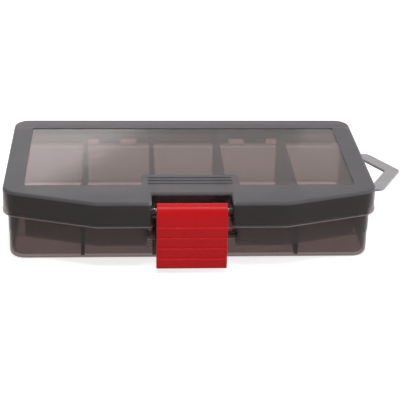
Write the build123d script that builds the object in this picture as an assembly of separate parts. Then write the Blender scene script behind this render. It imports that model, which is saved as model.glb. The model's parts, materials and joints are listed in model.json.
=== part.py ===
from build123d import *
import os
from math import atan2, cos, tan

# A flat tackle box: a tray with five long compartments under a deep hinged lid.
# A red latch hangs on a steel pin in a notch of the lid's front, and snaps under a catch on the tray.
# A five-sided carry handle swings on two lugs on the tray's right side.
# X runs to the right, Y to the back and Z up. The origin is on the underside, midway across the box.
# Every size is in millimetres.

# Lid
lid_width = 186.0
lid_rear_y = 49.2
lid_side_front_y = -48.2        # where the side would meet the slanted front
lid_nose = 14.9                 # how far the straight middle stands ahead of the sides
lid_centre_share = 0.499        # the straight middle's share of the lid's width
lid_top_z = 38.0
lid_skirt_height = 13.0
lid_top_thickness = 1.8
lid_skirt_thickness = 1.8
lid_front_corner_radius = 10.0
lid_rear_corner_radius = 8.0
lid_front_bend_radius = 6.0
lid_top_edge_radius = 1.4
lid_bead_height = 1.1
lid_bead_depth = 0.35

# Notch in the lid's front, where the latch hangs
notch_depth = 12.1
notch_side_gap = 2.3            # beside the latch
notch_mouth_radius = 2.0
notch_inner_radius = 1.0

# Window recess in the lid's top, with a ribbed tab reaching in over its front edge
window_side_border = 10.4
window_rear_border = 12.4
window_front_border = 7.2       # behind the lid's front corners
window_depth = 0.4
window_corner_radius = 1.5
tab_half_width_front = 25.0
tab_half_width_rear = 23.6
tab_reach = 12.4
tab_corner_radius = 1.5
rib_side_margin = 2.4
rib_width = 1.3
rib_height = 0.45
rib_edge_share = 0.45           # the rib's rounding, as a share of its smaller side
rib_pitch = 3.6
first_rib_from_tab_rear = 3.0
rib_count = 3

# Tray
lid_to_tray_gap = 0.5           # between the lid's skirt and the tray's walls
rim_to_lid_gap = 0.3
tray_wall = 1.8
tray_floor = 1.8
tray_front_setback = 0.8        # behind the lid's front corners
tray_front_corner_radius = 8.0
tray_bottom_edge_radius = 2.6
tray_inner_edge_radius = 1.2
rim_edge_radius = 0.6
apron_below_skirt = 11.0        # the hollow front apron's lower edge, below the lid's
apron_wall = 1.8
flange_thickness = 1.8

# Dividers
divider_count = 4
divider_thickness = 1.7
divider_corner_radius = 2.0
divider_top_below_rim = 0.6
groove_depth = 0.8
groove_side_gap = 0.1
groove_end_gap = 0.1
divider_floor_gap = 0.05

# Latch and its pin
latch_half_width = 17.4
latch_pin_behind_front = 4.3    # behind the lid's front
latch_pin_below_top = 5.5       # below the lid's top
latch_boss_radius = 3.3
latch_proud = 1.1               # ahead of the lid's front
latch_thickness = 3.2
latch_bottom_z = 3.0
latch_first_step_drop = 7.0     # below the pin
latch_step_count = 4
latch_step_depth = 0.8
latch_step_edge_radius = 0.42
latch_step_root_radius = 0.2
latch_lower_edge_radius = 0.6
latch_lip_height = 11.0         # above the latch's lower edge
latch_lip_radius = 1.5
latch_lip_root = 0.5            # how far the lip's arm reaches into the plate
latch_lip_out = 0.8             # the lip's centre behind the plate
latch_pin_radius = 1.0
pin_collar_radius = 2.2         # the collars on the notch's cheeks
pin_collar_gap = 0.5            # between a collar and the latch
pin_running_clearance = 0.05
pin_seat_clearance = 0.02

# Catch on the tray, a shelf with a rounded nose
catch_above_lip = 3.4
catch_to_lip_gap = 0.3
catch_nose_radius = 1.6
catch_shelf_thickness = 2.0
catch_into_apron = 0.8

# Lid hinge, two stations
hinge_above_skirt = 1.7
hinge_axis_behind_lid = 2.2
hinge_barrel_radius = 1.9
hinge_station_share = 0.441     # each station's place, as a share of the lid's half width
hinge_tray_knuckle = 8.5
hinge_lid_knuckle = 12.0
hinge_knuckle_gap = 0.3
hinge_pin_radius = 0.9
hinge_rail_height = 2.3         # the ledge along the tray's rear wall
hinge_rail_gap = 0.5            # between the ledge and the lid's skirt above it
hinge_arm_rise = 0.9            # above the axis
hinge_slot_margin = 0.6
hinge_lid_arm_foot = 0.6        # above the skirt's lower edge
hinge_lid_arm_rise = 5.5
hinge_lid_arm_back = 1.2
hinge_lid_arm_back_rise = 1.47

# Carry handle on the tray's right side
handle_centre_y = 9.0
handle_pivot_out = 3.5          # from the tray's wall to the handle's axis
handle_pivot_below_skirt = 2.0
handle_rest_tilt = 1.5
handle_half_width = 24.2
handle_strap = 7.1
handle_shoulder = 8.9
handle_reach = 22.2             # to the point before it is rounded
handle_thickness = 1.5
handle_boss_radius = 1.6
handle_shoulder_radius = 5.0
handle_point_radius = 1.8
handle_stub_radius = 1.0
handle_stub_length = 3.2
handle_stub_root = 0.5
handle_lug_radius = 1.75
handle_lug_length = 3.4
handle_side_gap = 0.3

# Room that a cut runs past the solid it cuts
past = 1.0

# Sizes that follow
lid_half = lid_width / 2
lid_centre_half_width = lid_half * lid_centre_share
lid_centre_front_y = lid_side_front_y - lid_nose
skirt_bottom_z = lid_top_z - lid_skirt_height
lid_underside_z = lid_top_z - lid_top_thickness
notch_half_width = latch_half_width + notch_side_gap
notch_rear_y = lid_centre_front_y + notch_depth
window_half_width = lid_half - window_side_border
window_rear_y = lid_rear_y - window_rear_border
window_front_y = lid_side_front_y + window_front_border
tab_rear_y = window_front_y + tab_reach
rib_half_length = tab_half_width_rear - rib_side_margin
tray_inset = lid_skirt_thickness + lid_to_tray_gap
tray_half = lid_half - tray_inset
tray_rear_y = lid_rear_y - tray_inset
tray_front_y = lid_side_front_y + tray_front_setback
rim_z = lid_underside_z - rim_to_lid_gap
inner_half = tray_half - tray_wall
inner_front_y = tray_front_y + tray_wall
inner_rear_y = tray_rear_y - tray_wall
apron_bottom_z = skirt_bottom_z - apron_below_skirt
apron_rear_y = tray_front_y + tray_front_corner_radius
pocket_half = notch_half_width + tray_inset
compartment = (2 * inner_half - divider_count * divider_thickness) / (divider_count + 1)
divider_pitch = compartment + divider_thickness
divider_top_z = rim_z - divider_top_below_rim
latch_pivot_y = lid_centre_front_y + latch_pin_behind_front
latch_pivot_z = lid_top_z - latch_pin_below_top
latch_front_y = lid_centre_front_y - latch_proud
latch_back_y = latch_front_y + latch_thickness
latch_lip_z = latch_bottom_z + latch_lip_height
latch_lip_y = latch_back_y + latch_lip_out
catch_nose_y = latch_lip_y + latch_lip_radius + catch_to_lip_gap
catch_z = latch_lip_z + catch_above_lip
hinge_axis_y = lid_rear_y + hinge_axis_behind_lid
hinge_axis_z = skirt_bottom_z + hinge_above_skirt
hinge_rail_top_z = skirt_bottom_z - hinge_rail_gap
hinge_rail_bottom_z = hinge_rail_top_z - hinge_rail_height
hinge_station_x = lid_half * hinge_station_share
hinge_knuckle_step = (hinge_lid_knuckle + hinge_tray_knuckle) / 2 + hinge_knuckle_gap
handle_pivot_x = tray_half + handle_pivot_out
handle_pivot_z = skirt_bottom_z - handle_pivot_below_skirt


def profile_yz(points):
    """A face in the YZ plane through the given (y, z) points."""
    return make_face(Polyline(*[(0, y, z) for y, z in points], close=True))


def across(face, x_from, x_to):
    """A face in the YZ plane made into a solid between two places along X."""
    return Pos(x_from, 0, 0) * extrude(face, x_to - x_from, dir=(1, 0, 0))


def rod_x(radius, y, z, x_from, x_to):
    """A round rod along X."""
    middle = (x_from + x_to) / 2
    return Pos(middle, y, z) * Rot(0, 90, 0) * Cylinder(radius, x_to - x_from)


def rod_y(radius, x, z, y_from, y_to):
    """A round rod along Y."""
    middle = (y_from + y_to) / 2
    return Pos(x, middle, z) * Rot(90, 0, 0) * Cylinder(radius, y_to - y_from)


def block(x_from, x_to, y_from, y_to, z_from, z_to):
    """A box between two corners."""
    low = Align.MIN
    size = Box(x_to - x_from, y_to - y_from, z_to - z_from, align=(low, low, low))
    return Pos(x_from, y_from, z_from) * size


def near(vertex, x, y):
    """Whether a vertex stands at plus or minus x, and at y."""
    return abs(abs(vertex.X) - x) < 0.01 and abs(vertex.Y - y) < 0.01


def lid_outline():
    """The lid seen from above: a slanted front with a straight middle, and the latch's notch in it."""
    right = [
        (lid_half, lid_rear_y),
        (lid_half, lid_side_front_y),
        (lid_centre_half_width, lid_centre_front_y),
        (notch_half_width, lid_centre_front_y),
        (notch_half_width, notch_rear_y),
    ]
    left = [(-x, y) for x, y in reversed(right)]
    outline = make_face(Polyline(*right, *left, close=True))
    corners = (
        (lid_half, lid_rear_y, lid_rear_corner_radius),
        (lid_half, lid_side_front_y, lid_front_corner_radius),
        (lid_centre_half_width, lid_centre_front_y, lid_front_bend_radius),
        (notch_half_width, lid_centre_front_y, notch_mouth_radius),
        (notch_half_width, notch_rear_y, notch_inner_radius),
    )
    for x, y, radius in corners:
        outline = fillet(outline.vertices().filter_by(lambda v: near(v, x, y)), radius)
    return outline


def raised(outline, z_from, z_to):
    """A plan outline made into a solid between two heights."""
    return Pos(0, 0, z_from) * extrude(outline, z_to - z_from)


def tray_rectangle(inset):
    """The tray's body seen from above, drawn in by an inset."""
    half, front, rear = tray_half - inset, tray_front_y + inset, tray_rear_y - inset
    sheet = Pos(0, (front + rear) / 2) * Rectangle(2 * half, rear - front)
    rear_radius = lid_rear_corner_radius - tray_inset - inset
    front_radius = tray_front_corner_radius - inset
    sheet = fillet(sheet.vertices().filter_by(lambda v: near(v, half, front)), front_radius)
    return fillet(sheet.vertices().filter_by(lambda v: near(v, half, rear)), rear_radius)


def window_recess():
    """The polished window's shallow recess, with the ribbed tab left standing."""
    middle_y = (window_front_y + window_rear_y) / 2
    window = Pos(0, middle_y) * RectangleRounded(
        2 * window_half_width, window_rear_y - window_front_y, window_corner_radius
    )
    right = [(tab_half_width_front, window_front_y), (tab_half_width_rear, tab_rear_y)]
    left = [(-x, y) for x, y in reversed(right)]
    tab = make_face(Polyline(*right, *left, close=True))
    rear_corners = tab.vertices().filter_by(lambda v: near(v, tab_half_width_rear, tab_rear_y))
    tab = fillet(rear_corners, tab_corner_radius)
    return raised(window - tab, lid_top_z - window_depth, lid_top_z + past)


def tab_ribs():
    """The grip ribs across the tab."""
    ribs = []
    for k in range(rib_count):
        y = tab_rear_y - first_rib_from_tab_rear - k * rib_pitch
        bar = block(-rib_half_length, rib_half_length, y - rib_width / 2, y + rib_width / 2,
                    lid_top_z - lid_top_thickness / 2, lid_top_z + rib_height)
        top = bar.faces().sort_by(Axis.Z)[-1]
        ribs.append(fillet(top.edges(), min(rib_width, rib_height) * rib_edge_share))
    return ribs


def hinge_profile(side_y, foot_z, top_z):
    """One knuckle's section: its barrel, and an arm to the wall at side_y between foot_z and top_z."""
    barrel = Pos(0, hinge_axis_y, hinge_axis_z) * Rot(0, 90, 0) * Circle(hinge_barrel_radius)
    arm = profile_yz([
        (side_y, foot_z),
        (hinge_axis_y, hinge_axis_z - hinge_barrel_radius),
        (hinge_axis_y, hinge_axis_z + hinge_arm_rise),
        (side_y, top_z),
    ])
    return barrel, arm


def tray_knuckles(side):
    """The pair of knuckles on the tray at one hinge station, their arms rising from the ledge."""
    barrel, arm = hinge_profile(tray_rear_y - tray_wall / 2, hinge_rail_bottom_z,
                                hinge_axis_z + hinge_arm_rise)
    knuckles = []
    for step in (-hinge_knuckle_step, hinge_knuckle_step):
        middle = side * hinge_station_x + step
        ends = (middle - hinge_tray_knuckle / 2, middle + hinge_tray_knuckle / 2)
        knuckles += [across(barrel, *ends), across(arm, *ends)]
    return knuckles


def hinge_rail():
    """The ledge along the tray's rear wall, just below the lid's skirt, that stiffens the hinged edge."""
    half = lid_half - lid_rear_corner_radius
    return block(-half, half, tray_rear_y - tray_wall / 2, lid_rear_y,
                 hinge_rail_bottom_z, hinge_rail_top_z)


def lid_knuckle(side):
    """The lid's knuckle between the tray's pair."""
    middle = side * hinge_station_x
    ends = (middle - hinge_lid_knuckle / 2, middle + hinge_lid_knuckle / 2)
    barrel = Pos(0, hinge_axis_y, hinge_axis_z) * Rot(0, 90, 0) * Circle(hinge_barrel_radius)
    arm = profile_yz([
        (lid_rear_y - lid_skirt_thickness / 2, skirt_bottom_z + hinge_lid_arm_foot),
        (hinge_axis_y, skirt_bottom_z + hinge_lid_arm_foot),
        (hinge_axis_y + hinge_lid_arm_back, hinge_axis_z + hinge_lid_arm_back_rise),
        (lid_rear_y - lid_skirt_thickness / 2, hinge_axis_z + hinge_lid_arm_rise),
    ])
    return [across(barrel, *ends), across(arm, *ends)]


def hinge_slots():
    """The slots in the lid's rear skirt that the tray's knuckle arms pass through."""
    slots = []
    for side in (-1, 1):
        for step in (-hinge_knuckle_step, hinge_knuckle_step):
            middle = side * hinge_station_x + step
            half = hinge_tray_knuckle / 2 + hinge_knuckle_gap
            slots.append(block(
                middle - half, middle + half,
                lid_rear_y - lid_skirt_thickness - past, hinge_axis_y + hinge_barrel_radius + past,
                skirt_bottom_z - past, hinge_axis_z + hinge_barrel_radius + hinge_slot_margin,
            ))
    return slots


def hinge_bore(side, radius):
    """The hinge pin's bore through one whole station."""
    reach = hinge_knuckle_step + hinge_tray_knuckle / 2 + past
    x = side * hinge_station_x
    return rod_x(radius, hinge_axis_y, hinge_axis_z, x - reach, x + reach)


def make_lid():
    """The lid: a shallow cap with a deep skirt, a window, a ribbed tab, a notch and two knuckles."""
    outline = lid_outline()
    cap = raised(outline, skirt_bottom_z, lid_top_z)
    cap = fillet(cap.faces().sort_by(Axis.Z)[-1].edges(), lid_top_edge_radius)
    bead = raised(offset(outline, lid_bead_depth, kind=Kind.INTERSECTION),
                  skirt_bottom_z, skirt_bottom_z + lid_bead_height)
    hollow = raised(offset(outline, -lid_skirt_thickness, kind=Kind.INTERSECTION),
                    skirt_bottom_z - past, lid_underside_z)
    lid = cap + bead
    for rib in tab_ribs():
        lid += rib
    lid -= hollow
    lid -= window_recess()
    for slot in hinge_slots():
        lid -= slot
    for side in (-1, 1):
        for piece in lid_knuckle(side):
            lid += piece
        lid -= hinge_bore(side, hinge_pin_radius + pin_running_clearance)
    collar_end = latch_half_width + pin_collar_gap
    for side in (-1, 1):
        ends = sorted((side * collar_end, side * (notch_half_width + lid_skirt_thickness / 2)))
        lid += rod_x(pin_collar_radius, latch_pivot_y, latch_pivot_z, *ends)
    pin_hole = rod_x(latch_pin_radius + pin_seat_clearance, latch_pivot_y, latch_pivot_z,
                     -pocket_half, pocket_half)
    return lid - pin_hole


def apron_block():
    """The outside of the apron that fills the lid's slanted front, from its lower edge to the rim."""
    outline = offset(lid_outline(), -tray_inset, kind=Kind.INTERSECTION)
    front = block(-lid_half, lid_half, lid_centre_front_y, apron_rear_y, 0, rim_z)
    return raised(outline, apron_bottom_z, rim_z) & front


def apron_hollow():
    """The room under the apron's flange, open below, in front of the tray's straight front wall."""
    outline = offset(lid_outline(), -tray_inset - apron_wall, kind=Kind.INTERSECTION)
    front = block(-lid_half, lid_half, lid_centre_front_y, tray_front_y, 0, rim_z)
    return raised(outline, 0, rim_z - flange_thickness) & front


def catch_shelf():
    """The shelf and nose on the tray's front, between the apron's cheeks, that the latch snaps under."""
    half = pocket_half + catch_into_apron
    nose_centre_y = catch_nose_y + catch_nose_radius
    low, high = catch_z - catch_shelf_thickness / 2, catch_z + catch_shelf_thickness / 2
    shelf = block(-half, half, nose_centre_y, tray_front_y + tray_wall / 2, low, high)
    return [shelf, rod_x(catch_nose_radius, nose_centre_y, catch_z, -half, half)]


def handle_lugs():
    """The two lugs on the tray's right wall that carry the handle's stubs."""
    lugs = []
    inner_y = handle_half_width - handle_strap - handle_side_gap
    for side in (-1, 1):
        ends = sorted(handle_centre_y + side * y for y in (inner_y, inner_y - handle_lug_length))
        root = block(tray_half - tray_wall / 2, handle_pivot_x, *ends,
                     handle_pivot_z - handle_lug_radius, handle_pivot_z + handle_lug_radius)
        lugs += [root, rod_y(handle_lug_radius, handle_pivot_x, handle_pivot_z, *ends)]
    return lugs


def divider_places():
    """The middle of each divider along X, from left to right."""
    return [(k - (divider_count - 1) / 2) * divider_pitch for k in range(divider_count)]


def make_tray():
    """The tray: tub, apron, catch, knuckles, handle lugs and the dividers' grooves, in one moulding."""
    tub = raised(tray_rectangle(0), 0, rim_z)
    tub = fillet(tub.faces().sort_by(Axis.Z)[0].edges(), tray_bottom_edge_radius)
    tray = tub + apron_block()
    tray = fillet(tray.faces().sort_by(Axis.Z)[-1].edges(), rim_edge_radius)
    tray -= apron_hollow()
    for piece in [hinge_rail(), *catch_shelf(), *handle_lugs(), *tray_knuckles(-1), *tray_knuckles(1)]:
        tray += piece
    inside = raised(tray_rectangle(tray_wall), tray_floor, lid_top_z)
    tray -= fillet(inside.faces().sort_by(Axis.Z)[0].edges(), tray_inner_edge_radius)
    for x in divider_places():
        half = divider_thickness / 2 + groove_side_gap
        tray -= block(x - half, x + half, inner_front_y - groove_depth, inner_rear_y + groove_depth,
                      tray_floor, lid_top_z)
    for side in (-1, 1):
        tray -= hinge_bore(side, hinge_pin_radius + pin_seat_clearance)
    bore_radius = handle_stub_radius + pin_running_clearance
    return tray - rod_y(bore_radius, handle_pivot_x, handle_pivot_z,
                        handle_centre_y - handle_half_width, handle_centre_y + handle_half_width)


def make_divider(x):
    """One divider: a plain plate with rounded top corners, its ends in the tray's grooves."""
    front = inner_front_y - groove_depth + groove_end_gap
    rear = inner_rear_y + groove_depth - groove_end_gap
    plate = block(x - divider_thickness / 2, x + divider_thickness / 2, front, rear,
                  tray_floor + divider_floor_gap, divider_top_z)
    corners = plate.edges().filter_by(Axis.X).group_by(Axis.Z)[-1]
    return fillet(corners, divider_corner_radius)


def latch_plate():
    """The latch's side view below its shoulder: a plate with sloped, rounded steps."""
    first_step_z = latch_pivot_z - latch_first_step_drop
    step = (first_step_z - latch_bottom_z) / latch_step_count
    proud_y = latch_front_y - latch_step_depth
    points = [(latch_back_y, first_step_z), (latch_back_y, latch_bottom_z)]
    for k in range(latch_step_count):
        low = latch_bottom_z + k * step
        points += [(latch_front_y, low), (proud_y, low + step)]
    points.append((latch_front_y, first_step_z))
    plate = profile_yz(points)
    low_z = latch_bottom_z + step / 2
    lower = plate.vertices().filter_by(lambda v: v.Z < low_z)
    plate = fillet(lower, latch_lower_edge_radius)
    edges = plate.vertices().filter_by(lambda v: abs(v.Y - proud_y) < 0.01)
    plate = fillet(edges, latch_step_edge_radius)
    roots = plate.vertices().filter_by(
        lambda v: abs(v.Y - latch_front_y) < 0.01 and low_z < v.Z < first_step_z - 0.01
    )
    return fillet(roots, latch_step_root_radius)


def latch_shoulder():
    """The latch's side view above the plate: a quarter of an ellipse from the plate's front to the boss."""
    first_step_z = latch_pivot_z - latch_first_step_drop
    depth = latch_pivot_y - latch_front_y
    rise = latch_pivot_z + latch_boss_radius - first_step_z
    dome = Pos(0, latch_pivot_y, first_step_z) * Rot(0, 90, 0) * Ellipse(rise, depth)
    back_y = min(latch_back_y, latch_pivot_y)
    front = profile_yz([
        (latch_front_y - past, first_step_z),
        (back_y, first_step_z),
        (latch_pivot_y, latch_pivot_z),
        (latch_pivot_y, latch_pivot_z + latch_boss_radius + past),
        (latch_front_y - past, latch_pivot_z + latch_boss_radius + past),
    ])
    return dome & front


def make_latch():
    """The red latch: a stepped plate, a rounded shoulder, a boss on the pin, and a lip behind."""
    width = (-latch_half_width, latch_half_width)
    latch = across(latch_plate(), *width) + across(latch_shoulder(), *width)
    latch += rod_x(latch_boss_radius, latch_pivot_y, latch_pivot_z, *width)
    latch += rod_x(latch_lip_radius, latch_lip_y, latch_lip_z, *width)
    latch += block(*width, latch_back_y - latch_lip_root, latch_lip_y,
                   latch_lip_z - latch_lip_radius, latch_lip_z + latch_lip_radius)
    bore = rod_x(latch_pin_radius + pin_running_clearance, latch_pivot_y, latch_pivot_z,
                 -pocket_half, pocket_half)
    return latch - bore


def make_latch_pin():
    """The steel pin through the latch, seated in the notch's cheeks."""
    half = notch_half_width + lid_skirt_thickness
    return rod_x(latch_pin_radius, latch_pivot_y, latch_pivot_z, -half, half)


def make_hinge_pin(side):
    """One hinge pin, as long as its station."""
    half = hinge_knuckle_step + hinge_tray_knuckle / 2
    x = side * hinge_station_x
    return rod_x(hinge_pin_radius, hinge_axis_y, hinge_axis_z, x - half, x + half)


def five_sided(half, shoulder, reach, root):
    """A plan with two straight legs, two slanted arms and a point."""
    points = [(root, -half), (shoulder, -half), (reach, 0), (shoulder, half), (root, half)]
    return make_face(Polyline(*points, close=True))


def handle_plan():
    """The handle laid flat, a five-sided strap, with rounded shoulders and a rounded point."""
    slant = atan2(handle_reach - handle_shoulder, handle_half_width)
    inner_half = handle_half_width - handle_strap
    inner_reach = handle_reach - handle_strap / cos(slant)
    inner_shoulder = inner_reach - inner_half * tan(slant)
    outer = five_sided(handle_half_width, handle_shoulder, handle_reach, 0)
    shoulders = outer.vertices().filter_by(lambda v: near_side(v, handle_shoulder))
    outer = fillet(shoulders, handle_shoulder_radius)
    point = outer.vertices().filter_by(lambda v: near_side(v, handle_reach))
    outer = fillet(point, handle_point_radius)
    return outer - five_sided(inner_half, inner_shoulder, inner_reach, -handle_boss_radius)


def near_side(vertex, x):
    """Whether a vertex of the handle's plan stands at x."""
    return abs(vertex.X - x) < 0.01


def make_handle():
    """The carry handle at its resting tilt: a flat five-sided bail with a stub on each leg."""
    handle = raised(handle_plan(), -handle_thickness / 2, handle_thickness / 2)
    inner_y = handle_half_width - handle_strap
    for side in (-1, 1):
        leg = sorted((side * inner_y, side * handle_half_width))
        stub = sorted((side * (inner_y + handle_stub_root), side * (inner_y - handle_stub_length)))
        handle += rod_y(handle_boss_radius, 0, 0, *leg)
        handle += rod_y(handle_stub_radius, 0, 0, *stub)
    place = Pos(handle_pivot_x, handle_centre_y, handle_pivot_z)
    return place * Rot(0, -handle_rest_tilt, 0) * handle


def main():
    """Builds every piece and writes it to its own file."""
    pieces = {
        "base_tray": make_tray(),
        "lid": make_lid(),
        "latch": make_latch(),
        "latch_pin": make_latch_pin(),
        "hinge_pin_left": make_hinge_pin(-1),
        "hinge_pin_right": make_hinge_pin(1),
        "carry_handle": make_handle(),
    }
    for number, x in enumerate(divider_places(), start=1):
        pieces[f"divider_{number}"] = make_divider(x)
    os.makedirs("parts", exist_ok=True)
    for name, piece in pieces.items():
        export_step(piece, f"parts/{name}.step")


main()
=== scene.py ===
"""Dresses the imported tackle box: smoke plastic, a red latch, steel pins and a pale carry handle."""

import json
import logging
import math
from dataclasses import dataclass, field
from enum import Enum

import bmesh
import bpy
from mathutils import Matrix, Vector


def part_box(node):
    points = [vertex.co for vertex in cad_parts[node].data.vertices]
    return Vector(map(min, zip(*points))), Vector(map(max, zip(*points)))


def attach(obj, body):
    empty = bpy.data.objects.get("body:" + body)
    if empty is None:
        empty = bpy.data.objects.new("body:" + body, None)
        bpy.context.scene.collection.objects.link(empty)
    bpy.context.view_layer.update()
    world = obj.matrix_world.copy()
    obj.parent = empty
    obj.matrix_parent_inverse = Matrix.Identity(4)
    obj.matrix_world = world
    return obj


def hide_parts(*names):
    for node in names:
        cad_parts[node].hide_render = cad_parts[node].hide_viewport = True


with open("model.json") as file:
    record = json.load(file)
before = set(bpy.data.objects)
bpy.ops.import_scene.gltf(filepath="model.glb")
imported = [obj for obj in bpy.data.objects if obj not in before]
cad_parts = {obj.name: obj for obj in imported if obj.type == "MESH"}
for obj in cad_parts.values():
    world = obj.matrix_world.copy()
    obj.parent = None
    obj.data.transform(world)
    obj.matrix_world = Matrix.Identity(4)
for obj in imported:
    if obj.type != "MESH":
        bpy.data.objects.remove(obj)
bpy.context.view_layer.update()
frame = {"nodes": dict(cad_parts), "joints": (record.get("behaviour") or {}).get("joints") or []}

MM = 0.001
WALL_SLOPE = 0.3
LEVEL_SLOPE = 0.95
WHITE = (1.0, 1.0, 1.0)
HANDLE_GREY = (0.278, 0.265, 0.268)
HANDLE_PALE = (0.307, 0.293, 0.296)
LATCH_RED = (0.49, 0.004, 0.008)
LATCH_PALE = (0.53, 0.006, 0.01)
Colour = tuple[float, float, float]
# A noise's blotch size in millimetres, its number of finer layers and how strong they are.
Grain = tuple[float, float, float]
# A range of numbers, low and high, and what its two ends become.
Remap = tuple[float, float, float, float]
Outline = list[tuple[float, float]]
log = logging.getLogger("tackle_box")


class Body(Enum):
    """The bodies that pieces ride on."""

    BASE = "base"
    LID = "lid"
    LATCH = "latch"
    HANDLE = "handle"


class Slot(Enum):
    """The record's material slots."""

    TRAY = "smoke_tray"
    LID = "smoke_lid"
    DIVIDER = "smoke_divider"
    LATCH = "red_latch"
    PIN = "pin_steel"
    HANDLE = "handle_grey"


class Wiring:
    """A material's or world's node tree, with short calls for the nodes that it needs."""

    def __init__(self, owner: bpy.types.Material | bpy.types.World) -> None:
        """Empties the owner's node tree.

        Args:
            owner: The material or world.
        """
        self.owner = owner
        self.owner.use_nodes = True
        self.tree = self.owner.node_tree
        self.tree.nodes.clear()

    def node(self, kind: str, **inputs: object) -> bpy.types.Node:
        """Adds a node and sets or links its inputs.

        Args:
            kind: The node's type without its ShaderNode prefix.
            **inputs: Values or sockets by input name, with underscores for spaces.

        Returns:
            The new node.
        """
        made = self.tree.nodes.new("ShaderNode" + kind)
        for key, value in inputs.items():
            self.put(made.inputs[key.replace("_", " ")], value)
        return made

    def put(self, socket: bpy.types.NodeSocket, value: object) -> None:
        """Links a socket to an input, or sets its value.

        Args:
            socket: The input socket.
            value: An output socket, a number or a colour.
        """
        if isinstance(value, bpy.types.NodeSocket):
            self.tree.links.new(value, socket)
        elif isinstance(value, tuple) and socket.type == "RGBA" and len(value) == 3:
            socket.default_value = (*value, 1.0)
        else:
            socket.default_value = value

    def math(self, operation: str, first: object, second: object = 0.0) -> bpy.types.NodeSocket:
        """Adds a Math node.

        Args:
            operation: The operation's name.
            first: The first number or socket.
            second: The second number or socket.

        Returns:
            The node's output.
        """
        made = self.tree.nodes.new("ShaderNodeMath")
        made.operation = operation
        self.put(made.inputs[0], first)
        self.put(made.inputs[1], second)
        return made.outputs[0]

    def ramp(self, value: object, low: float, high: float, start: float = 0.0, end: float = 1.0,
             smooth: bool = True) -> bpy.types.NodeSocket:
        """Maps a range of numbers to another, clamped.

        Args:
            value: The number or socket to map.
            low: The range's start.
            high: The range's end.
            start: What the start maps to.
            end: What the end maps to.
            smooth: Whether the change is eased.

        Returns:
            The mapped number.
        """
        made = self.tree.nodes.new("ShaderNodeMapRange")
        made.interpolation_type = "SMOOTHSTEP" if smooth else "LINEAR"
        for socket, number in zip(made.inputs, (value, low, high, start, end)):
            self.put(socket, number)
        return made.outputs[0]

    def blend(self, factor: object, first: object, second: object) -> bpy.types.NodeSocket:
        """Mixes two colours.

        Args:
            factor: The second colour's share.
            first: The first colour.
            second: The second colour.

        Returns:
            The mixed colour.
        """
        made = self.tree.nodes.new("ShaderNodeMix")
        made.data_type = "RGBA"
        self.put(made.inputs[0], factor)
        self.put(made.inputs[6], first)
        self.put(made.inputs[7], second)
        return made.outputs[2]

    def place(self) -> tuple[bpy.types.NodeSocket, bpy.types.Node]:
        """Gives the point on the piece in the object's own frame.

        Returns:
            The place as a vector, and a Separate XYZ node whose outputs hold x, y and z.
        """
        where = self.node("TexCoord").outputs["Object"]
        return where, self.node("SeparateXYZ", Vector=where)

    def upright(self) -> bpy.types.NodeSocket:
        """Gives 1 on the piece's walls, 0 on its level faces, and between them on its edges."""
        facing = self.node("SeparateXYZ", Vector=self.node("TexCoord").outputs["Normal"])
        level = self.math("ABSOLUTE", facing.outputs["Z"])
        return self.ramp(level, WALL_SLOPE, LEVEL_SLOPE, 1.0, 0.0)

    def inside_of(self, value: object, low: float, high: float,
                  soft: float) -> bpy.types.NodeSocket:
        """Gives 1 where a value lies between two limits, with soft edges.

        Args:
            value: The number or socket to test.
            low: The lower limit.
            high: The upper limit.
            soft: How far each edge reaches outwards.

        Returns:
            The mask.
        """
        above = self.ramp(value, low - soft, low)
        return self.math("MULTIPLY", above, self.ramp(value, high, high + soft, 1.0, 0.0))

    def noise(self, where: bpy.types.NodeSocket, size_mm: float, detail: float,
              roughness: float) -> bpy.types.NodeSocket:
        """Adds a Noise texture whose blotches have a real size.

        Args:
            where: The point to sample at.
            size_mm: The blotches' size in millimetres.
            detail: The number of finer layers.
            roughness: How strong the finer layers are.

        Returns:
            The noise value.
        """
        made = self.node("TexNoise", Vector=where, Scale=1.0 / (size_mm * MM), Detail=detail,
                         Roughness=roughness)
        return made.outputs[0]

    def bump(self, height: object, depth_mm: float) -> bpy.types.NodeSocket:
        """Adds a Bump node at full strength.

        Args:
            height: The height from 0 to 1.
            depth_mm: What a height of 1 stands for.

        Returns:
            The bumped normal.
        """
        made = self.node("Bump", Height=height, Distance=depth_mm * MM, Strength=1.0)
        return made.outputs[0]

    def mix(self, factor: object, first: bpy.types.NodeSocket,
            second: bpy.types.NodeSocket) -> bpy.types.NodeSocket:
        """Mixes two shaders.

        Args:
            factor: The second shader's share.
            first: The first shader.
            second: The second shader.

        Returns:
            The mixed shader.
        """
        made = self.tree.nodes.new("ShaderNodeMixShader")
        self.put(made.inputs[0], factor)
        self.put(made.inputs[1], first)
        self.put(made.inputs[2], second)
        return made.outputs[0]

    def done(self, shader: bpy.types.NodeSocket,
             inside: bpy.types.NodeSocket | None = None) -> bpy.types.Material:
        """Links the shaders to a material's output.

        Args:
            shader: The surface's shader.
            inside: The shader of the solid inside, if it has one.

        Returns:
            The finished material.
        """
        out = self.node("OutputMaterial", Surface=shader)
        if inside:
            self.put(out.inputs["Volume"], inside)
        return self.owner


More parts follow.
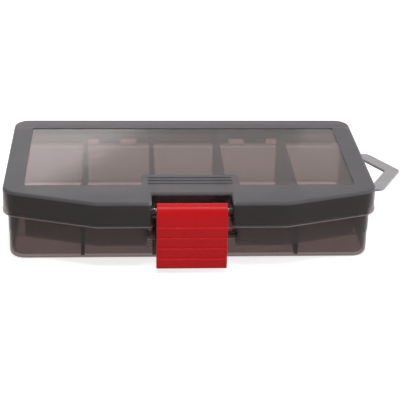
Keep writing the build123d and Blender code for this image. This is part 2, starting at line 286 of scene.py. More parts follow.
@dataclass(frozen=True)
class WindowArea:
    """Where the lid is polished: a rectangle, less the ribbed tab, in metres."""

    half_width: float = 82.5 * MM
    front: float = -40.9 * MM
    rear: float = 36.7 * MM
    tab_half_width: float = 24.3 * MM
    tab_rear: float = -28.7 * MM
    lowest: float = 36.0 * MM
    lid_top: float = 38.0 * MM
    step_foot: float = 37.2 * MM
    step_top: float = 37.4 * MM
    edge: float = 0.15 * MM

    def mask(self, wires: Wiring, at: bpy.types.Node) -> bpy.types.NodeSocket:
        """Builds a mask that is 1 on the window and 0 elsewhere.

        Args:
            wires: The material's wiring.
            at: A Separate XYZ node with the place on the piece.

        Returns:
            The mask.
        """
        across = wires.math("ABSOLUTE", at.outputs["X"])
        along = at.outputs["Y"]
        sideways = wires.inside_of(across, -self.half_width, self.half_width, self.edge)
        level = wires.math("MULTIPLY", sideways,
                           wires.inside_of(along, self.front, self.rear, self.edge))
        window = wires.math("MULTIPLY", level,
                            wires.ramp(at.outputs["Z"], self.lowest, self.lowest + self.edge))
        within = wires.ramp(across, self.tab_half_width, self.tab_half_width + self.edge, 1.0, 0.0)
        tab = wires.math("MULTIPLY", within,
                         wires.ramp(along, self.tab_rear, self.tab_rear + self.edge, 1.0, 0.0))
        return wires.math("MULTIPLY", window, wires.math("SUBTRACT", 1.0, tab))

    def step(self, wires: Wiring, at: bpy.types.Node) -> bpy.types.NodeSocket:
        """Builds a mask that is 1 on the low step round the window, where painted light lifts its
        shade.

        Args:
            wires: The material's wiring.
            at: A Separate XYZ node with the place on the piece.

        Returns:
            The mask.
        """
        high = wires.ramp(at.outputs["Z"], self.step_foot, self.step_top)
        near = wires.inside_of(at.outputs["Y"], self.rear - self.edge, self.rear + 3 * self.edge,
                               self.edge)
        return wires.math("MULTIPLY", high, near)

    def ribs(self, wires: Wiring, at: bpy.types.Node) -> bpy.types.NodeSocket:
        """Builds a mask that is 1 on the sides of the grip ribs that stand above the lid, where
        painted light lifts their shade.

        Args:
            wires: The material's wiring.
            at: A Separate XYZ node with the place on the piece.

        Returns:
            The mask.
        """
        high = wires.ramp(at.outputs["Z"], self.lid_top, self.lid_top + self.edge)
        return wires.math("MULTIPLY", high, wires.upright())


@dataclass(frozen=True)
class PaintedEdgeHighlights:
    """Where the lid's lower edge and the notch's cheeks are painted paler as a highlight, in metres.
    """

    foot: float = 25.0 * MM
    foot_height: float = 0.45 * MM
    cheek: float = 19.7 * MM
    cheek_width: float = 1.1 * MM
    cheek_rear: float = -61.2 * MM
    cheek_share: float = 0.35
    soft: float = 0.25 * MM

    def mask(self, wires: Wiring, at: bpy.types.Node) -> bpy.types.NodeSocket:
        """Builds a mask that is 1 on the edges with the painted highlight and 0 elsewhere.

        Args:
            wires: The material's wiring.
            at: A Separate XYZ node with the place on the piece.

        Returns:
            The mask.
        """
        across = wires.math("ABSOLUTE", at.outputs["X"])
        low = wires.inside_of(at.outputs["Z"], 0.0, self.foot + self.foot_height, self.soft)
        cheek = wires.inside_of(across, self.cheek, self.cheek + self.cheek_width, self.soft)
        ahead = wires.ramp(at.outputs["Y"], self.cheek_rear, self.cheek_rear + self.soft,
                           self.cheek_share, 0.0)
        return wires.math("MAXIMUM", low, wires.math("MULTIPLY", cheek, ahead))


@dataclass(frozen=True)
class PaintedFootShade:
    """The rounded foot of the tub, where the wall is seen along its length; its see-through tint is
    darkened as painted shade for the shadow under the box.
    """

    top: float = 2.3 * MM
    soft: float = 0.5 * MM
    tint: float = 0.5

    def mask(self, wires: Wiring, at: bpy.types.Node) -> bpy.types.NodeSocket:
        """Builds a mask that is 1 on the foot's rounding and 0 on its level faces.

        Args:
            wires: The material's wiring.
            at: A Separate XYZ node with the place on the piece.

        Returns:
            The mask.
        """
        low = wires.ramp(at.outputs["Z"], self.top - self.soft, self.top, 1.0, 0.0)
        return wires.math("MULTIPLY", low, wires.upright())


@dataclass(frozen=True)
class SmokePlastic:
    """See-through smoke plastic: tinted surfaces, a tinted inside, some haze and a clear gloss, with
    painted shade and painted highlights where masks ask for them.
    """

    slot: Slot
    tint: Colour = (0.935, 0.882, 0.88)
    # Upright walls let less through than level faces: the smoke colour plus painted shade on the
    # walls.
    shaded_wall_tint: Colour = (0.605, 0.562, 0.556)
    inside: Colour = (0.35, 0.225, 0.2)
    density: float = 200.0
    haze: float = 0.04
    wall_haze: float = 0.18
    body: Colour = (0.1, 0.092, 0.092)
    body_roughness: float = 0.5
    body_shine: float = 0.2
    gloss_roughness: float = 0.09
    gloss_limit: float = 0.2
    facing_blend: float = 0.5
    facing_power: float = 5.0
    face_on: float = 0.01
    grazing_from: float = 0.68
    grazing_to: float = 0.88
    grazing_tint: float = 0.4
    window: WindowArea | None = None
    edges: PaintedEdgeHighlights | None = None
    foot: PaintedFootShade | None = None
    # A painted highlight on the lid's lower edge and notch cheeks: a paler colour and more haze.
    edge_highlight_body: Colour = (0.24, 0.23, 0.23)
    edge_highlight_haze: float = 0.55
    frosted_haze: float = 0.88
    frosted_body: Colour = (0.076, 0.073, 0.079)
    frosted_roughness: float = 0.45
    frosted_gloss: float = 0.15
    # Painted light: a paler colour, with more haze on the step, that lifts the shade on the step
    # round the window and on the rib sides.
    painted_lift_body: Colour = (0.13, 0.125, 0.13)
    step_haze: float = 0.9
    cloud: Grain = (22.0, 2.0, 0.5)
    cloud_haze: Remap = (0.3, 0.7, 0.95, 1.05)
    swirl: Grain = (5.0, 4.0, 0.6)
    swirl_share: Remap = (0.4, 0.75, 0.0, 0.06)
    swirl_body: Colour = (0.2, 0.19, 0.19)
    swirl_roughness: Remap = (0.3, 0.8, 0.85, 1.25)
    ripple: Grain = (7.0, 1.5, 0.5)
    ripple_depth_mm: float = 0.012

    def haze_and_body(self, wires: Wiring, at: bpy.types.Node, upright: bpy.types.NodeSocket,
                      frosted: object) -> tuple[bpy.types.NodeSocket, bpy.types.NodeSocket]:
        """Works out how cloudy the plastic is at each point, and the cloud's colour, which carries
        the painted highlights on the edges and the painted light on the step and ribs.

        Args:
            wires: The material's wiring.
            at: A Separate XYZ node with the place on the piece.
            upright: A mask of the walls.
            frosted: A mask of the frosted top.

        Returns:
            The share of haze, and its colour.
        """
        haze = wires.ramp(upright, 0.0, 1.0, self.haze, self.wall_haze, False)
        haze = wires.math("MAXIMUM", haze, wires.math("MULTIPLY", frosted, self.frosted_haze))
        body = wires.blend(frosted, self.body, self.frosted_body)
        # Painted highlight: the masked edges get a paler colour and more haze.
        if self.edges:
            pale = self.edges.mask(wires, at)
            haze = wires.math("MAXIMUM", haze, wires.math("MULTIPLY", pale, self.edge_highlight_haze))
            body = wires.blend(pale, body, self.edge_highlight_body)
        # Painted light: the step round the window and the rib sides get the paler lift colour.
        if self.window:
            step = self.window.step(wires, at)
            haze = wires.math("MAXIMUM", haze, wires.math("MULTIPLY", step, self.step_haze))
            body = wires.blend(step, body, self.painted_lift_body)
            body = wires.blend(self.window.ribs(wires, at), body, self.painted_lift_body)
        return haze, body

    def material(self) -> bpy.types.Material:
        """Builds the material.

        Returns:
            The finished material.
        """
        wires = Wiring(bpy.data.materials.new(self.slot.value))
        where, at = wires.place()
        upright = wires.upright()
        cloud = wires.noise(where, *self.cloud)
        swirl = wires.noise(where, *self.swirl)
        frosted = 0.0
        if self.window:
            top = wires.ramp(at.outputs["Z"], self.window.lowest, self.window.lowest + MM)
            polished = self.window.mask(wires, at)
            frosted = wires.math("MULTIPLY", top, wires.math("SUBTRACT", 1.0, polished))
        haze, body = self.haze_and_body(wires, at, upright, frosted)
        haze = wires.math("MULTIPLY", haze, wires.ramp(cloud, *self.cloud_haze))
        body = wires.blend(wires.ramp(swirl, *self.swirl_share), body, self.swirl_body)
        normal = wires.bump(wires.noise(where, *self.ripple), self.ripple_depth_mm)
        solid = wires.node("BsdfPrincipled", Base_Color=body, Roughness=self.body_roughness,
                           Normal=normal)
        solid.inputs["Specular IOR Level"].default_value = self.body_shine
        # Painted shade: walls get the darker see-through tint, level faces the lighter one.
        tint = wires.blend(upright, self.tint, self.shaded_wall_tint)
        # Painted shade: the see-through tint is darker round the tub's foot.
        if self.foot:
            dark = tuple(value * self.foot.tint for value in self.shaded_wall_tint)
            tint = wires.blend(self.foot.mask(wires, at), tint, dark)
        facing = wires.node("LayerWeight", Blend=self.facing_blend).outputs["Facing"]
        shade = tuple(value * self.grazing_tint for value in self.shaded_wall_tint)
        grazing = wires.ramp(facing, self.grazing_from, self.grazing_to)
        tint = wires.blend(wires.math("MULTIPLY", upright, grazing), tint, shade)
        clear = wires.node("BsdfTransparent", Color=tint)
        inner = wires.mix(haze, clear.outputs[0], solid.outputs[0])
        slant = wires.math("POWER", facing, self.facing_power)
        share = wires.ramp(slant, 0.0, 1.0, self.face_on, 1.0, False)
        polish = wires.ramp(frosted, 0.0, 1.0, 1.0, self.frosted_gloss, False)
        share = wires.math("MINIMUM", wires.math("MULTIPLY", share, polish), self.gloss_limit)
        roughness = wires.ramp(frosted, 0.0, 1.0, self.gloss_roughness, self.frosted_roughness,
                               False)
        roughness = wires.math("MULTIPLY", roughness, wires.ramp(swirl, *self.swirl_roughness))
        shine = wires.node("BsdfGlossy", Color=WHITE, Roughness=roughness, Normal=normal)
        fill = wires.node("VolumeAbsorption", Color=self.inside, Density=self.density)
        return wires.done(wires.mix(share, inner, shine.outputs[0]), fill.outputs[0])


@dataclass(frozen=True)
class SolidPlastic:
    """Opaque or slightly cloudy moulded plastic."""

    slot: Slot
    colour: Colour
    pale: Colour
    roughness: float
    clear_share: float = 0.0
    clear_tint: Colour = (0.9, 0.9, 0.9)
    shine: float = 0.25
    cloud: Grain = (9.0, 3.0, 0.5)
    cloud_share: Remap = (0.35, 0.7, 0.0, 0.5)
    grain: Grain = (0.8, 2.0, 0.6)
    grain_depth_mm: float = 0.004
    flow: Grain = (2.5, 5.0, 0.65)
    flow_roughness: Remap = (0.3, 0.75, 0.85, 1.2)

    def material(self) -> bpy.types.Material:
        """Builds the material.

        Returns:
            The finished material.
        """
        wires = Wiring(bpy.data.materials.new(self.slot.value))
        where, _ = wires.place()
        cloud = wires.noise(where, *self.cloud)
        grain = wires.noise(where, *self.grain)
        flow = wires.noise(where, *self.flow)
        colour = wires.blend(wires.ramp(cloud, *self.cloud_share), self.colour, self.pale)
        low, high, least, most = self.flow_roughness
        roughness = wires.ramp(flow, low, high, self.roughness * least, self.roughness * most)
        solid = wires.node("BsdfPrincipled", Base_Color=colour, Roughness=roughness,
                           Normal=wires.bump(grain, self.grain_depth_mm))
        solid.inputs["Specular IOR Level"].default_value = self.shine
        shader = solid.outputs[0]
        if self.clear_share:
            clear = wires.node("BsdfTransparent", Color=self.clear_tint)
            shader = wires.mix(self.clear_share, shader, clear.outputs[0])
        return wires.done(shader)


@dataclass(frozen=True)
class DrawnSteel:
    """Drawn wire, dulled by handling, with fine lines along it."""

    slot: Slot = Slot.PIN
    colour: Colour = (0.18, 0.175, 0.18)
    tarnish: Colour = (0.13, 0.125, 0.125)
    stretch: float = 0.05
    lines: Grain = (0.12, 3.0, 0.5)
    line_roughness: Remap = (0.3, 0.7, 0.25, 0.42)
    line_depth_mm: float = 0.004
    dulling: Grain = (1.5, 3.0, 0.5)
    dull_share: Remap = (0.35, 0.75, 0.0, 1.0)

    def material(self) -> bpy.types.Material:
        """Builds the material.

        Returns:
            The finished material.
        """
        wires = Wiring(bpy.data.materials.new(self.slot.value))
        where, _ = wires.place()
        stretched = wires.node("Mapping", Vector=where)
        stretched.inputs["Scale"].default_value = (self.stretch, 1.0, 1.0)
        lines = wires.noise(stretched.outputs[0], *self.lines)
        rough = wires.ramp(lines, *self.line_roughness)
        dull = wires.ramp(wires.noise(where, *self.dulling), *self.dull_share)
        colour = wires.blend(dull, self.colour, self.tarnish)
        steel = wires.node("BsdfPrincipled", Base_Color=colour, Roughness=rough,
                           Normal=wires.bump(lines, self.line_depth_mm))
        steel.inputs["Metallic"].default_value = 1.0
        return wires.done(steel.outputs[0])


@dataclass
class SubAssembly:
    """What the box's sub-assemblies share: carrying a CAD solid over, easing it and hanging it."""

    body: Body
    slot: Slot
    ease_mm: float = 0.2
    segments: int = 2
    sharp_degrees: float = 35.0
    weld_mm: float = 0.002
    flat_degrees: float = 0.6
    normal_weight: int = 50

    def finish(self) -> bpy.types.Material:
        """Builds the sub-assembly's material.

        Returns:
            The material.
        """
        raise NotImplementedError

    def place(self, mesh: bpy.types.Mesh, node: str,
              material: bpy.types.Material) -> bpy.types.Object:
        """Makes a mesh into a piece that stands for a CAD node and rides on this body.

        Args:
            mesh: The piece's mesh.
            node: The CAD node that it stands for.
            material: Its finish.

        Returns:
            The new piece.
        """
        piece = bpy.data.objects.new(node + "_visual", mesh)
        bpy.context.scene.collection.objects.link(piece)
        mesh.materials.clear()
        mesh.materials.append(material)
        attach(piece, self.body.value)
        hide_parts(node)
        log.info("%s rides on %s with %d faces", piece.name, self.body.value, len(mesh.polygons))
        return piece

    def carried_mesh(self, node: str) -> bpy.types.Mesh:
        """Copies a CAD solid's mesh and cleans it.

        Args:
            node: The CAD node.

        Returns:
            The cleaned copy.
        """
        mesh = frame["nodes"][node].data.copy()
        mesh.name = node + "_eased"
        shape = bmesh.new()
        shape.from_mesh(mesh)
        bmesh.ops.remove_doubles(shape, verts=shape.verts, dist=self.weld_mm * MM)
        bmesh.ops.dissolve_limit(shape, angle_limit=math.radians(self.flat_degrees),
                                 verts=shape.verts, edges=shape.edges)
        limit = math.radians(self.sharp_degrees)
        for edge in shape.edges:
            edge.smooth = not (edge.is_manifold and edge.calc_face_angle(0.0) > limit)
        for face in shape.faces:
            face.smooth = True
        shape.to_mesh(mesh)
        shape.free()
        return mesh

    def ease(self, piece: bpy.types.Object) -> None:
        """Rounds a piece's sharp edges a little, so that they catch the light.

        Args:
            piece: The piece.
        """
        bevel = piece.modifiers.new("eased_edges", "BEVEL")
        bevel.width = self.ease_mm * MM
        bevel.segments = self.segments
        bevel.limit_method = "ANGLE"
        bevel.angle_limit = math.radians(self.sharp_degrees)
        bevel.miter_outer = "MITER_ARC"
        weighted = piece.modifiers.new("weighted_normals", "WEIGHTED_NORMAL")
        weighted.weight = self.normal_weight

    def carry(self, nodes: list[str]) -> list[bpy.types.Object]:
        """Carries CAD nodes over as eased pieces with this finish.

        Args:
            nodes: The CAD nodes.

        Returns:
            The new pieces.
        """
        material = self.finish()
        pieces = [self.place(self.carried_mesh(node), node, material) for node in nodes]
        for piece in pieces:
            self.ease(piece)
        return pieces


@dataclass
class Tray(SubAssembly):
    """The smoke tray with its hollow apron, catch shelf, lugs and knuckles."""

    body: Body = Body.BASE
    slot: Slot = Slot.TRAY

    def finish(self) -> bpy.types.Material:
        """Gives the tray its smoke plastic, with painted shade round the foot."""
        return SmokePlastic(self.slot, foot=PaintedFootShade()).material()

    def build(self) -> list[bpy.types.Object]:
        """Carries the tray over."""
        return self.carry(["base_tray"])


@dataclass
class Lid(SubAssembly):
    """The smoke lid: a frosted top with a polished window, and a painted highlight on its lower
    edges.
    """

    body: Body = Body.LID
    slot: Slot = Slot.LID
    ease_mm: float = 0.15

    def finish(self) -> bpy.types.Material:
        """Gives the lid its smoke plastic, with the window polished and painted highlights on its
        edges.
        """
        return SmokePlastic(self.slot, window=WindowArea(), edges=PaintedEdgeHighlights()).material()

    def build(self) -> list[bpy.types.Object]:
        """Carries the lid over."""
        return self.carry(["lid"])


@dataclass
class Dividers(SubAssembly):
    """The row of smoke cross walls in the tray's grooves."""

    body: Body = Body.BASE
    slot: Slot = Slot.DIVIDER
    ease_mm: float = 0.25
    count: int = 4

    def finish(self) -> bpy.types.Material:
        """Gives the dividers their smoke plastic."""
        return SmokePlastic(self.slot).material()

    def build(self) -> list[bpy.types.Object]:
        """Carries the dividers over."""
        return self.carry([f"divider_{number}" for number in range(1, self.count + 1)])


@dataclass
class Pins(SubAssembly):
    """A set of plain steel pins on one body."""

    body: Body = Body.BASE
    slot: Slot = Slot.PIN
    nodes: tuple[str, ...] = ("hinge_pin_left", "hinge_pin_right")

    def finish(self) -> bpy.types.Material:
        """Gives the pins their drawn steel."""
        return DrawnSteel(self.slot).material()

    def build(self) -> list[bpy.types.Object]:
        """Carries the pins over."""
        return self.carry(list(self.nodes))


@dataclass
class CarryHandle(SubAssembly):
    """The flat five-sided handle of pale, slightly cloudy plastic."""

    body: Body = Body.HANDLE
    slot: Slot = Slot.HANDLE
    ease_mm: float = 0.3
    segments: int = 3

    def finish(self) -> bpy.types.Material:
        """Gives the handle its pale grey plastic."""
        return SolidPlastic(self.slot, HANDLE_GREY, HANDLE_PALE, 0.35, clear_share=0.25).material()

    def build(self) -> list[bpy.types.Object]:
        """Carries the handle over."""
        return self.carry(["carry_handle"])


def arc(y: float, z: float, radius_y: float, radius_z: float, start: float, end: float,
        steps: int) -> Outline:
    """Gives points on a stretch of an ellipse in the YZ plane.

    Args:
        y: The centre's place along Y.
        z: The centre's place along Z.
        radius_y: The radius along Y.
        radius_z: The radius along Z.
        start: The first angle in degrees, from +Y towards +Z.
        end: The last angle in degrees.
        steps: The number of steps.

    Returns:
        The points, both ends included.
    """
    angles = [math.radians(start + (end - start) * k / steps) for k in range(steps + 1)]
    return [(y + radius_y * math.cos(a), z + radius_z * math.sin(a)) for a in angles]


def rounded(corner: tuple[float, float], before: tuple[float, float], after: tuple[float, float],
            radius: float, steps: int) -> Outline:
    """Rounds one corner of an outline.

    Args:
        corner: The corner.
        before: The point before it.
        after: The point after it.
        radius: The rounding's radius.
        steps: The number of steps in the round.

    Returns:
        The points of the round, both ends included.
    """
    tip = Vector(corner)
    back, on = (Vector(before) - tip).normalized(), (Vector(after) - tip).normalized()
    half = back.angle(on) / 2
    reach = radius / math.tan(half)
    centre = tip + (back + on).normalized() * (radius / math.sin(half))
    first, last = tip + back * reach - centre, tip + on * reach - centre
    turn = first.angle_signed(last)
    points = []
    for k in range(steps + 1):
        a = -turn * k / steps
        points.append((centre.x + first.x * math.cos(a) - first.y * math.sin(a),
                       centre.y + first.x * math.sin(a) + first.y * math.cos(a)))
    return points


@dataclass
class Latch(SubAssembly):
    """The red finger latch, made from its side view: steps, shoulder, boss and lip, in metres."""

    body: Body = Body.LATCH
    slot: Slot = Slot.LATCH
    node: str = "latch"
    joint: str = "latch_swing"
    step_count: int = 4
    step_depth: float = 0.8 * MM
    thickness: float = 3.2 * MM
    shoulder_drop: float = 7.0 * MM
    boss_radius: float = 3.3 * MM
    bore_radius: float = 1.05 * MM
    step_edge: float = 0.42 * MM
    step_root: float = 0.2 * MM
    lower_edge: float = 0.6 * MM
    lip_radius: float = 1.5 * MM
    lip_out: float = 0.8 * MM
    lip_height: float = 11.0 * MM
    lip_root: float = 0.3 * MM
    end_ease: float = 0.3 * MM
    end_steps: int = 4
    round_steps: int = 8
    dome_start_degrees: float = 175.0

    def finish(self) -> bpy.types.Material:
        """Gives the latch its glossy red plastic."""
        return SolidPlastic(self.slot, LATCH_RED, LATCH_PALE, 0.3, shine=0.13).material()

    def pivot(self) -> tuple[float, float]:
        """Gives the pin's centre as y and z, from the frame's joint."""
        joint = next(joint for joint in frame["joints"] if joint["name"] == self.joint)
        return joint["pos_m"][1], joint["pos_m"][2]

    def step_height(self, lowest: float) -> float:
        """Gives one step's height.

        Args:
            lowest: The latch's lower edge.

        Returns:
            The height.
        """
        return (self.pivot()[1] - self.shoulder_drop - lowest) / self.step_count

    def outline(self) -> Outline:
        """Draws the latch's side view, once round, from its lower back corner to the front.

        Returns:
            The outline's points as (y, z).
        """
        low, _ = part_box(self.node)
        pivot_y, pivot_z = self.pivot()
        steps = self.round_steps
        step = self.step_height(low.z)
        front = low.y + self.proud_loss(step) + self.step_depth
        back = front + self.thickness
        first = pivot_z - self.shoulder_drop
        proud = front - self.step_depth
        corners = [(back, low.z, self.lower_edge)]
        for k in range(self.step_count):
            foot = low.z + k * step
            corners.append((front, foot, self.step_root if k else self.lower_edge))
            corners.append((proud, foot + step, self.step_edge))
        corners.append((front, first, self.step_root))
        corners.append((front, first + self.step_depth, 0.0))
        points = [rounded(corners[k][:2], (corners[k - 1] if k else (back, pivot_z))[:2],
                          corners[k + 1][:2], corners[k][2], steps)
                  for k in range(len(corners) - 1)]
        shape = [point for run in points for point in run]
        rise = pivot_z + self.boss_radius - first
        shape += arc(pivot_y, first, pivot_y - front, rise, self.dome_start_degrees, 90.0,
                     4 * steps)
        meet = math.degrees(math.acos((back - pivot_y) / self.boss_radius))
        shape += arc(pivot_y, pivot_z, self.boss_radius, self.boss_radius, 90.0, -meet,
                     5 * steps)[1:]
        lip_y, lip_z = back + self.lip_out, low.z + self.lip_height
        over, under = lip_z + self.lip_radius, lip_z - self.lip_radius
        shape += rounded((back, over), (back, pivot_z), (lip_y, over), self.lip_root, steps)
        shape += arc(lip_y, lip_z, self.lip_radius, self.lip_radius, 90.0, -90.0, 3 * steps)
        shape += rounded((back, under), (lip_y, under), (back, low.z), self.lip_root, steps)
        return shape

    def proud_loss(self, step: float) -> float:
        """Gives how far a step's rounded edge ends from its drawn corner along Y.

        Args:
            step: One step's height.

        Returns:
            The distance, which is negative.
        """
        lean = math.atan2(self.step_depth, step)
        return self.step_edge - self.step_edge / math.tan((math.pi / 2 - lean) / 2)

    def mesh(self) -> bpy.types.Mesh:
        """Sweeps the side view across, with rounded ends and the pin's bore.

        Returns:
            The mesh.
        """
        low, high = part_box(self.node)
        outline = [Vector(point) for point in self.outline()]
        count = len(outline)
        inward = []
        for k, point in enumerate(outline):
            along = (outline[(k + 1) % count] - outline[k - 1]).normalized()
            inward.append(Vector((along.y, -along.x)))
        shape = bmesh.new()
        rings = []
        quarter = [math.pi / 2 * k / self.end_steps for k in range(self.end_steps + 1)]
        stations = [(low.x + self.end_ease * (1 - math.sin(a)), 1 - math.cos(a))
                    for a in reversed(quarter)]
        stations += [(high.x - self.end_ease * (1 - math.sin(a)), 1 - math.cos(a))
                     for a in quarter]
        for x, inset in stations:
            rings.append([shape.verts.new((x, *(point + side * inset * self.end_ease)))
                          for point, side in zip(outline, inward)])
        for ring, following in zip(rings, rings[1:]):
            for k in range(count):
                after = (k + 1) % count
                shape.faces.new((ring[k], ring[after], following[after], following[k]))
        bores = []
        for x, ring in ((low.x, rings[0]), (high.x, rings[-1])):
            hole = [shape.verts.new((x, y, z)) for y, z in
                    arc(*self.pivot(), self.bore_radius, self.bore_radius, 0.0, 360.0,
                        4 * self.round_steps)[:-1]]
            bores.append(hole)
            edges = [shape.edges.get((ring[k], ring[(k + 1) % count])) for k in range(count)]
            edges += [shape.edges.new((hole[k - 1], hole[k])) for k in range(len(hole))]
            bmesh.ops.triangle_fill(shape, use_beauty=True, use_dissolve=False, edges=edges)
        first, last = bores
        for k in range(len(first)):
            shape.faces.new((first[k - 1], first[k], last[k], last[k - 1]))
        bmesh.ops.recalc_face_normals(shape, faces=shape.faces)
        for face in shape.faces:
            face.smooth = True
        for edge in shape.edges:
            edge.smooth = edge.calc_face_angle(0.0) < math.radians(self.sharp_degrees)
        mesh = bpy.data.meshes.new(self.node + "_moulding")
        shape.to_mesh(mesh)
        shape.free()
        return mesh

    def build(self) -> list[bpy.types.Object]:
        """Makes the latch."""
        piece = self.place(self.mesh(), self.node, self.finish())
        weighted = piece.modifiers.new("weighted_normals", "WEIGHTED_NORMAL")
        weighted.weight = self.normal_weight
        weighted.keep_sharp = True
        return [piece]


@dataclass(frozen=True)
class Lamp:
    """A soft rectangular lamp that points at the box, in metres and watts."""

    name: str
    place: tuple[float, float, float]
    size: tuple[float, float]
    watts: float
    in_mirror: bool = False


@dataclass(frozen=True)
class MirrorCard:
    """A bright card far behind the box, seen only mirrored in the polished window, in metres.

    Its upper edge starts at the corner and runs towards a second point, both as x and z, and
    reaches back past the corner by the overlap. A radiance of 1 is as bright as the surround.
    """

    name: str
    corner: tuple[float, float]
    towards: tuple[float, float]
    overlap: float
    size: tuple[float, float]
    radiance: float


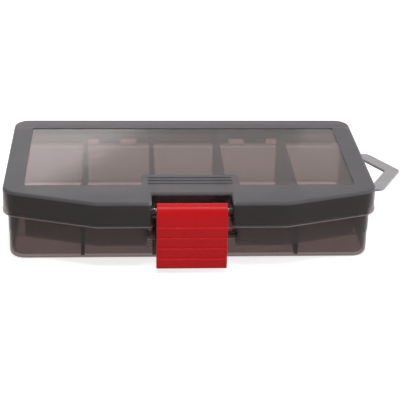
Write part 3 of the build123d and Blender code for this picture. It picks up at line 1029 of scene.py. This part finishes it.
@dataclass
class Studio:
    """A white sweep, soft lamps, and the camera at the photograph's angle."""

    elevation: float = 24.5
    yaw: float = -3.82
    roll: float = 1.38
    focal_px: float = 1287.3
    picture_px: float = 400.0
    sensor_mm: float = 36.0
    target: Vector = field(default_factory=lambda: Vector((7.63, 0.0, 10.93)) * MM)
    distance: float = 689.84 * MM
    nearest: float = 0.01
    farthest: float = 50.0
    floor_size: float = 6.0
    floor_white: float = 0.6
    floor_lift: float = 0.75
    near_floor: float = 0.5
    far_floor: float = 1.5
    surround: float = 0.3
    mirrored_y: float = 1500.0 * MM
    see_through_layers: int = 48
    aim: Vector = field(default_factory=lambda: Vector((0.0, 0.0, 0.02)))
    lamps: tuple[Lamp, ...] = (
        Lamp("top_softbox", (0.15, 0.1, 1.1), (1.0, 0.8), 6.5),
        Lamp("right_fill", (1.3, -0.1, 0.2), (0.5, 0.5), 15.0),
        Lamp("front_key", (0.0, -0.45, 0.95), (0.45, 0.11), 4.2, in_mirror=True),
        Lamp("front_fill", (0.05, -0.9, 0.08), (0.6, 0.15), 0.45),
    )
    cards: tuple[MirrorCard, ...] = (
        MirrorCard("left_card", (1.9 * MM, 607.0 * MM), (-126.6 * MM, 693.4 * MM), 0.15,
                   (0.9, 0.35), 1.5),
        MirrorCard("right_card", (285.0 * MM, 640.0 * MM), (342.0 * MM, 640.0 * MM), 0.0,
                   (0.07, 0.06), 0.55),
    )

    def camera(self) -> None:
        """Places the camera."""
        tilt, turn = math.radians(self.elevation), math.radians(self.yaw)
        back = Vector((math.sin(turn) * math.cos(tilt), -math.cos(turn) * math.cos(tilt),
                       math.sin(tilt)))
        right = (-back).cross(Vector((0.0, 0.0, 1.0))).normalized()
        up = right.cross(-back)
        lean = math.radians(self.roll)
        right, up = (right * math.cos(lean) + up * math.sin(lean),
                     up * math.cos(lean) - right * math.sin(lean))
        data = bpy.data.cameras.new("camera")
        data.sensor_width = self.sensor_mm
        data.lens = self.sensor_mm * self.focal_px / self.picture_px
        data.clip_start = self.nearest
        data.clip_end = self.farthest
        camera = bpy.data.objects.new("camera", data)
        axes = Matrix((right, up, back)).transposed().to_4x4()
        camera.matrix_world = Matrix.Translation(self.target + back * self.distance) @ axes
        bpy.context.scene.collection.objects.link(camera)
        bpy.context.scene.camera = camera

    def floor(self) -> None:
        """Lays the floor."""
        half = self.floor_size / 2
        mesh = bpy.data.meshes.new("floor")
        corners = [(-half, -half, 0), (half, -half, 0), (half, half, 0), (-half, half, 0)]
        mesh.from_pydata(corners, [], [(0, 1, 2, 3)])
        floor = bpy.data.objects.new("floor", mesh)
        bpy.context.scene.collection.objects.link(floor)
        wires = Wiring(bpy.data.materials.new("white_floor"))
        seen = self.seen_rays(wires)
        matte = wires.node("BsdfDiffuse", Color=(self.floor_white,) * 3)
        _, at = wires.place()
        away = wires.math("ADD", wires.math("MULTIPLY", at.outputs["X"], at.outputs["X"]),
                          wires.math("MULTIPLY", at.outputs["Y"], at.outputs["Y"]))
        level = wires.ramp(away, self.near_floor ** 2, self.far_floor ** 2, self.floor_lift, 1.0)
        lift = wires.node("Emission", Color=WHITE, Strength=wires.math("MULTIPLY", seen, level))
        added = wires.tree.nodes.new("ShaderNodeAddShader")
        wires.put(added.inputs[0], matte.outputs[0])
        wires.put(added.inputs[1], lift.outputs[0])
        mesh.materials.append(wires.done(added.outputs[0]))

    @staticmethod
    def seen_rays(wires: Wiring) -> bpy.types.NodeSocket:
        """Gives 1 for rays that show a surface: straight, mirrored or through glass.

        Args:
            wires: The wiring of the material or world.

        Returns:
            The factor.
        """
        path = wires.node("LightPath")
        seen = wires.math("MAXIMUM", path.outputs["Is Camera Ray"], path.outputs["Is Glossy Ray"])
        return wires.math("MAXIMUM", seen, path.outputs["Is Transmission Ray"])

    def world(self) -> None:
        """Sets a white surround that lights the box only gently."""
        world = bpy.data.worlds.new("surround")
        bpy.context.scene.world = world
        wires = Wiring(world)
        seen = self.seen_rays(wires)
        strength = wires.ramp(seen, 0.0, 1.0, self.surround, 1.0, False)
        light = wires.node("Background", Color=WHITE, Strength=strength)
        wires.node("OutputWorld", Surface=light.outputs[0])

    @staticmethod
    def panel(name: str, size: tuple[float, float], watts: float) -> bpy.types.Object:
        """Adds a rectangular light that the camera doesn't see.

        Args:
            name: The light's name.
            size: Its two side lengths.
            watts: Its power.

        Returns:
            The light object.
        """
        data = bpy.data.lights.new(name, "AREA")
        data.shape = "RECTANGLE"
        data.size, data.size_y = size
        data.energy = watts
        panel = bpy.data.objects.new(name, data)
        panel.visible_camera = False
        bpy.context.scene.collection.objects.link(panel)
        return panel

    def hang(self, lamp: Lamp) -> None:
        """Hangs a lamp and points it at the box.

        Args:
            lamp: The lamp.
        """
        panel = self.panel(lamp.name, lamp.size, lamp.watts)
        place = Vector(lamp.place)
        panel.location = place
        panel.rotation_euler = (self.aim - place).to_track_quat("-Z", "Y").to_euler()
        panel.visible_glossy = lamp.in_mirror

    def stand(self, card: MirrorCard) -> None:
        """Stands a card far behind the box.

        Args:
            card: The card.
        """
        start, end = (Vector((x, self.mirrored_y, z)) for x, z in (card.corner, card.towards))
        along = (end - start).normalized()
        down = Vector((along.z, 0.0, -along.x))
        if down.z > 0:
            down.negate()
        length, depth = card.size
        centre = start + along * (length / 2 - card.overlap) + down * (depth / 2)
        ahead = Vector((0.0, 1.0, 0.0))
        panel = self.panel(card.name, card.size, card.radiance * math.pi * length * depth)
        axes = Matrix((along, ahead.cross(along), ahead)).transposed().to_4x4()
        panel.matrix_world = Matrix.Translation(centre) @ axes
        panel.visible_diffuse = False
        panel.visible_transmission = False

    def build(self) -> None:
        """Sets up the whole studio."""
        self.camera()
        self.floor()
        self.world()
        for lamp in self.lamps:
            self.hang(lamp)
        for card in self.cards:
            self.stand(card)
        bpy.context.scene.view_settings.view_transform = "Standard"
        bpy.context.scene.cycles.transparent_max_bounces = self.see_through_layers


def main() -> None:
    """Builds the studio and every sub-assembly."""
    Studio().build()
    sub_assemblies = [Tray(), Lid(), Dividers(), Latch(), Pins(),
                      Pins(body=Body.LID, nodes=("latch_pin",)), CarryHandle()]
    for sub_assembly in sub_assemblies:
        made = sub_assembly.build()
        log.info("%s has %d pieces", type(sub_assembly).__name__, len(made))


if __name__ == "__main__":
    logging.basicConfig(level=logging.INFO)
    main()
